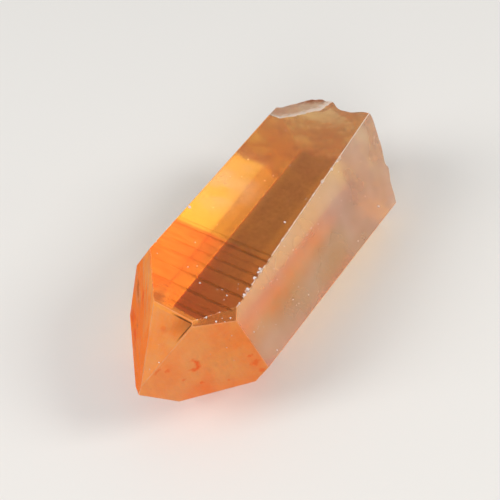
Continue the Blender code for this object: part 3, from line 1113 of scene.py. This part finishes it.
# dust specks and crumbs on the upper faces
dust = {
    "given": (  # centre in the frame and radius, in mm
        ((3.69, 1.07, 13.1), 0.15), ((3.93, 5.12, 13.1), 0.08), ((0.57, -10.2, 13.1), 0.10),
        ((-1.68, -9.04, 13.1), 0.08), ((-6.34, -1.94, 13.1), 0.21), ((8.11, 14.46, 5.74), 0.16),
        ((8.95, -9.71, 6.95), 0.10), ((7.7, -4.28, 8.47), 0.08), ((8.27, -2.09, 7.27), 0.07),
        ((8.55, 8.58, 5.63), 0.08), ((7.15, -10.88, 10.12), 0.08), ((5.7, 2.19, 11.15), 0.07),
        ((5.67, -0.66, 11.52), 0.07), ((5.09, -1.45, 12.58), 0.07), ((5.6, 3.23, 11.21), 0.07),
        ((5.22, -9.3, 13.05), 0.18), ((5.34, -10.4, 13.0), 0.13), ((5.10, -8.5, 13.06), 0.18),
        ((4.98, -7.0, 13.08), 0.18), ((4.84, -5.7, 13.08), 0.18), ((4.90, -6.2, 13.1), 0.13),
        ((4.15, 8.2, 13.05), 0.13), ((4.02, 10.6, 13.05), 0.15), ((3.97, 11.9, 13.05), 0.13),
        ((1.1, -18.6, 10.15), 0.07), ((0.35, -19.3, 9.35), 0.05),
        ((2.55, -10.07, 13.1), 0.06), ((2.98, -9.83, 13.1), 0.06), ((3.81, -10.24, 13.1), 0.08),
        ((3.83, -10.81, 13.1), 0.06), ((3.52, -13.49, 13.05), 0.12), ((4.43, -13.18, 12.64), 0.11),
        ((5.37, -12.09, 12.57), 0.08), ((3.1, -13.9, 12.95), 0.06), ((4.0, -13.0, 12.85), 0.05),
        ((4.75, -12.6, 12.72), 0.06), ((5.1, -12.7, 12.5), 0.05),
    ),
    "faces": {"top": 22, "upperRight": 30, "topTip": 2, "rightTip": 4},  # how many more on each
    "within": ((-10, 10), (0, 42), (-9, 6)),  # where they are tried in the crystal's layout, mm
    "rear": 38.0,
    "margin": 0.5,
    "tries": 50,  # for each speck
    "smallest": 0.025,
    "largest": 0.06,
    "flat": 0.8,  # height over width
    "detail": 2,
    "lumps": 1.9,
    "uneven": 2.6,
    "seed": 5,
    "colour": (0.74, 0.65, 0.63, 1.0),
    "roughness": 0.8,
}


def scatteredSpecks():
    own = dust
    chance = random.Random(own["seed"])
    found = []
    for name, count in own["faces"].items():
        normal, distance = allPlanes[name]
        others = [plane for other, plane in allPlanes.items() if other not in (name, "rearUpperRight")]
        others.append((-tipWay, own["rear"] * mm))
        placed = 0
        for attempt in range(count * own["tries"]):
            place = Vector([chance.uniform(low, high) for low, high in own["within"]]) * mm
            place -= normal * (place.dot(normal) - distance)
            if all(place.dot(facing) < reach - own["margin"] * mm for facing, reach in others):
                radius = chance.uniform(own["smallest"], own["largest"])
                found.append(((place + layoutToFrame) / mm, radius))
                placed += 1
            if placed == count:
                break
    return found


def plainMaterial(name, colour, roughness):
    made = bpy.data.materials.new(name)
    made.use_nodes = True
    surface = made.node_tree.nodes["Principled BSDF"]
    surface.inputs["Base Color"].default_value = colour
    surface.inputs["Roughness"].default_value = roughness
    return made


def makeDust():
    own = dust
    values = {"Uneven": own["uneven"], "Seed": own["seed"],
              "Material": plainMaterial("paleDust", own["colour"], own["roughness"])}
    tree, given, result = shapeTree("dustTree", values)
    turn = randomValue(tree, "FLOAT_VECTOR", (0.0, 0.0, 0.0), (math.tau,) * 3, given["Seed"])
    lumps = addNode(tree, "ShaderNodeTexNoise", {"Scale": own["lumps"]}).outputs["Fac"]
    place = addNode(tree, "GeometryNodeInputPosition").outputs[0]
    push = stretched(tree, place, swing(tree, lumps, given["Uneven"]))
    copiesOnPoints(tree, given, result, shifted(tree, ballMesh(tree, own["detail"]), push),
                   given["Geometry"], Rotation=turn, Scale=namedVector(tree, "reach"))
    specks = [*own["given"], *scatteredSpecks()]
    host = pointHost("dustSpecks", [centre for centre, radius in specks],
                     reach=[(radius * mm, radius * mm, radius * mm * own["flat"])
                            for centre, radius in specks])
    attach(linkedObject("dustSpecks", grownMesh(host, tree, values)), "root")


makeDust()
print("dust placed")

# floor, lights and camera
studio = {
    "floorSize": 3.0,  # metres
    "floorDrop": 0.02,
    "floorColour": (0.80, 0.79, 0.77, 1.0),
    "floorRoughness": 0.8,
    "skyColour": (0.97, 0.98, 1.0, 1.0),
    "skyStrength": 0.42,
    "lamps": {  # place, width and height in metres, power in watts, colour
        "key": ((0.34, 0.16, 0.30), (0.18, 0.18), 0.85, (1.0, 0.96, 0.90)),
        "fill": ((-0.30, -0.33, 0.32), (0.26, 0.26), 1.5, (1.0, 0.98, 0.95)),
        "front": ((0.25, -0.42, 0.30), (0.24, 0.24), 0.9, (1.0, 0.98, 0.95)),
        "lowPanel": ((0.2844, 0.1467, 0.060), (0.068, 0.12), 0.032, (1.0, 0.95, 0.88)),
        "lowStrip": ((0.2572, 0.1903, 0.060), (0.034, 0.12), 0.042, (1.0, 0.95, 0.88)),
    },
    "bounces": {"max_bounces": 24, "glossy_bounces": 16, "transmission_bounces": 24},
}


def makeStudio():
    bm = bmesh.new()
    bmesh.ops.create_grid(bm, x_segments=1, y_segments=1, size=studio["floorSize"] / 2)
    floor = objectFromBmesh("paleFloor", bm)
    floor.location.z = -studio["floorDrop"] * mm
    floor.data.materials.append(
        plainMaterial("palePaper", studio["floorColour"], studio["floorRoughness"]))
    sky = bpy.data.worlds.new("studioSky")
    sky.use_nodes = True
    background = sky.node_tree.nodes["Background"]
    background.inputs["Color"].default_value = studio["skyColour"]
    background.inputs["Strength"].default_value = studio["skyStrength"]
    bpy.context.scene.world = sky
    for name, (place, size, power, colour) in studio["lamps"].items():
        lamp = bpy.data.lights.new(name, "AREA")
        lamp.shape = "RECTANGLE"
        lamp.size, lamp.size_y = size
        lamp.energy = power
        lamp.color = colour
        made = linkedObject(name, lamp)
        made.location = place
        made.rotation_mode = "QUATERNION"
        made.rotation_quaternion = (-Vector(place)).to_track_quat("-Z", "Y")
    for name, count in studio["bounces"].items():
        setattr(bpy.context.scene.cycles, name, count)
    bpy.context.scene.view_settings.view_transform = "Standard"


makeStudio()

cameraView = {
    "azimuth": 35.6,
    "elevation": 47.737,
    "roll": -4.818,
    "distance": 107.365,
    "target": (-0.235, 20.47, 0.0),  # in the crystal's layout, mm
    "lens": 70.89,
    "sensor": 36.0,
    "clip": (0.005, 20.0),  # metres
}


def makeCamera():
    own = cameraView
    turn = (Matrix.Rotation(math.radians(own["azimuth"]), 3, "Z")
            @ Matrix.Rotation(math.radians(90.0 - own["elevation"]), 3, "X")
            @ Matrix.Rotation(math.radians(own["roll"]), 3, "Z"))
    back = turn.col[2]
    lens = bpy.data.cameras.new("camera")
    lens.lens = own["lens"]
    lens.sensor_width = own["sensor"]
    lens.clip_start, lens.clip_end = own["clip"]
    made = linkedObject("camera", lens)
    place = (Vector(own["target"]) + back * own["distance"]) * mm + layoutToFrame
    made.matrix_world = Matrix.Translation(place) @ turn.to_4x4()
    bpy.context.scene.camera = made


makeCamera()
print("studio ready")
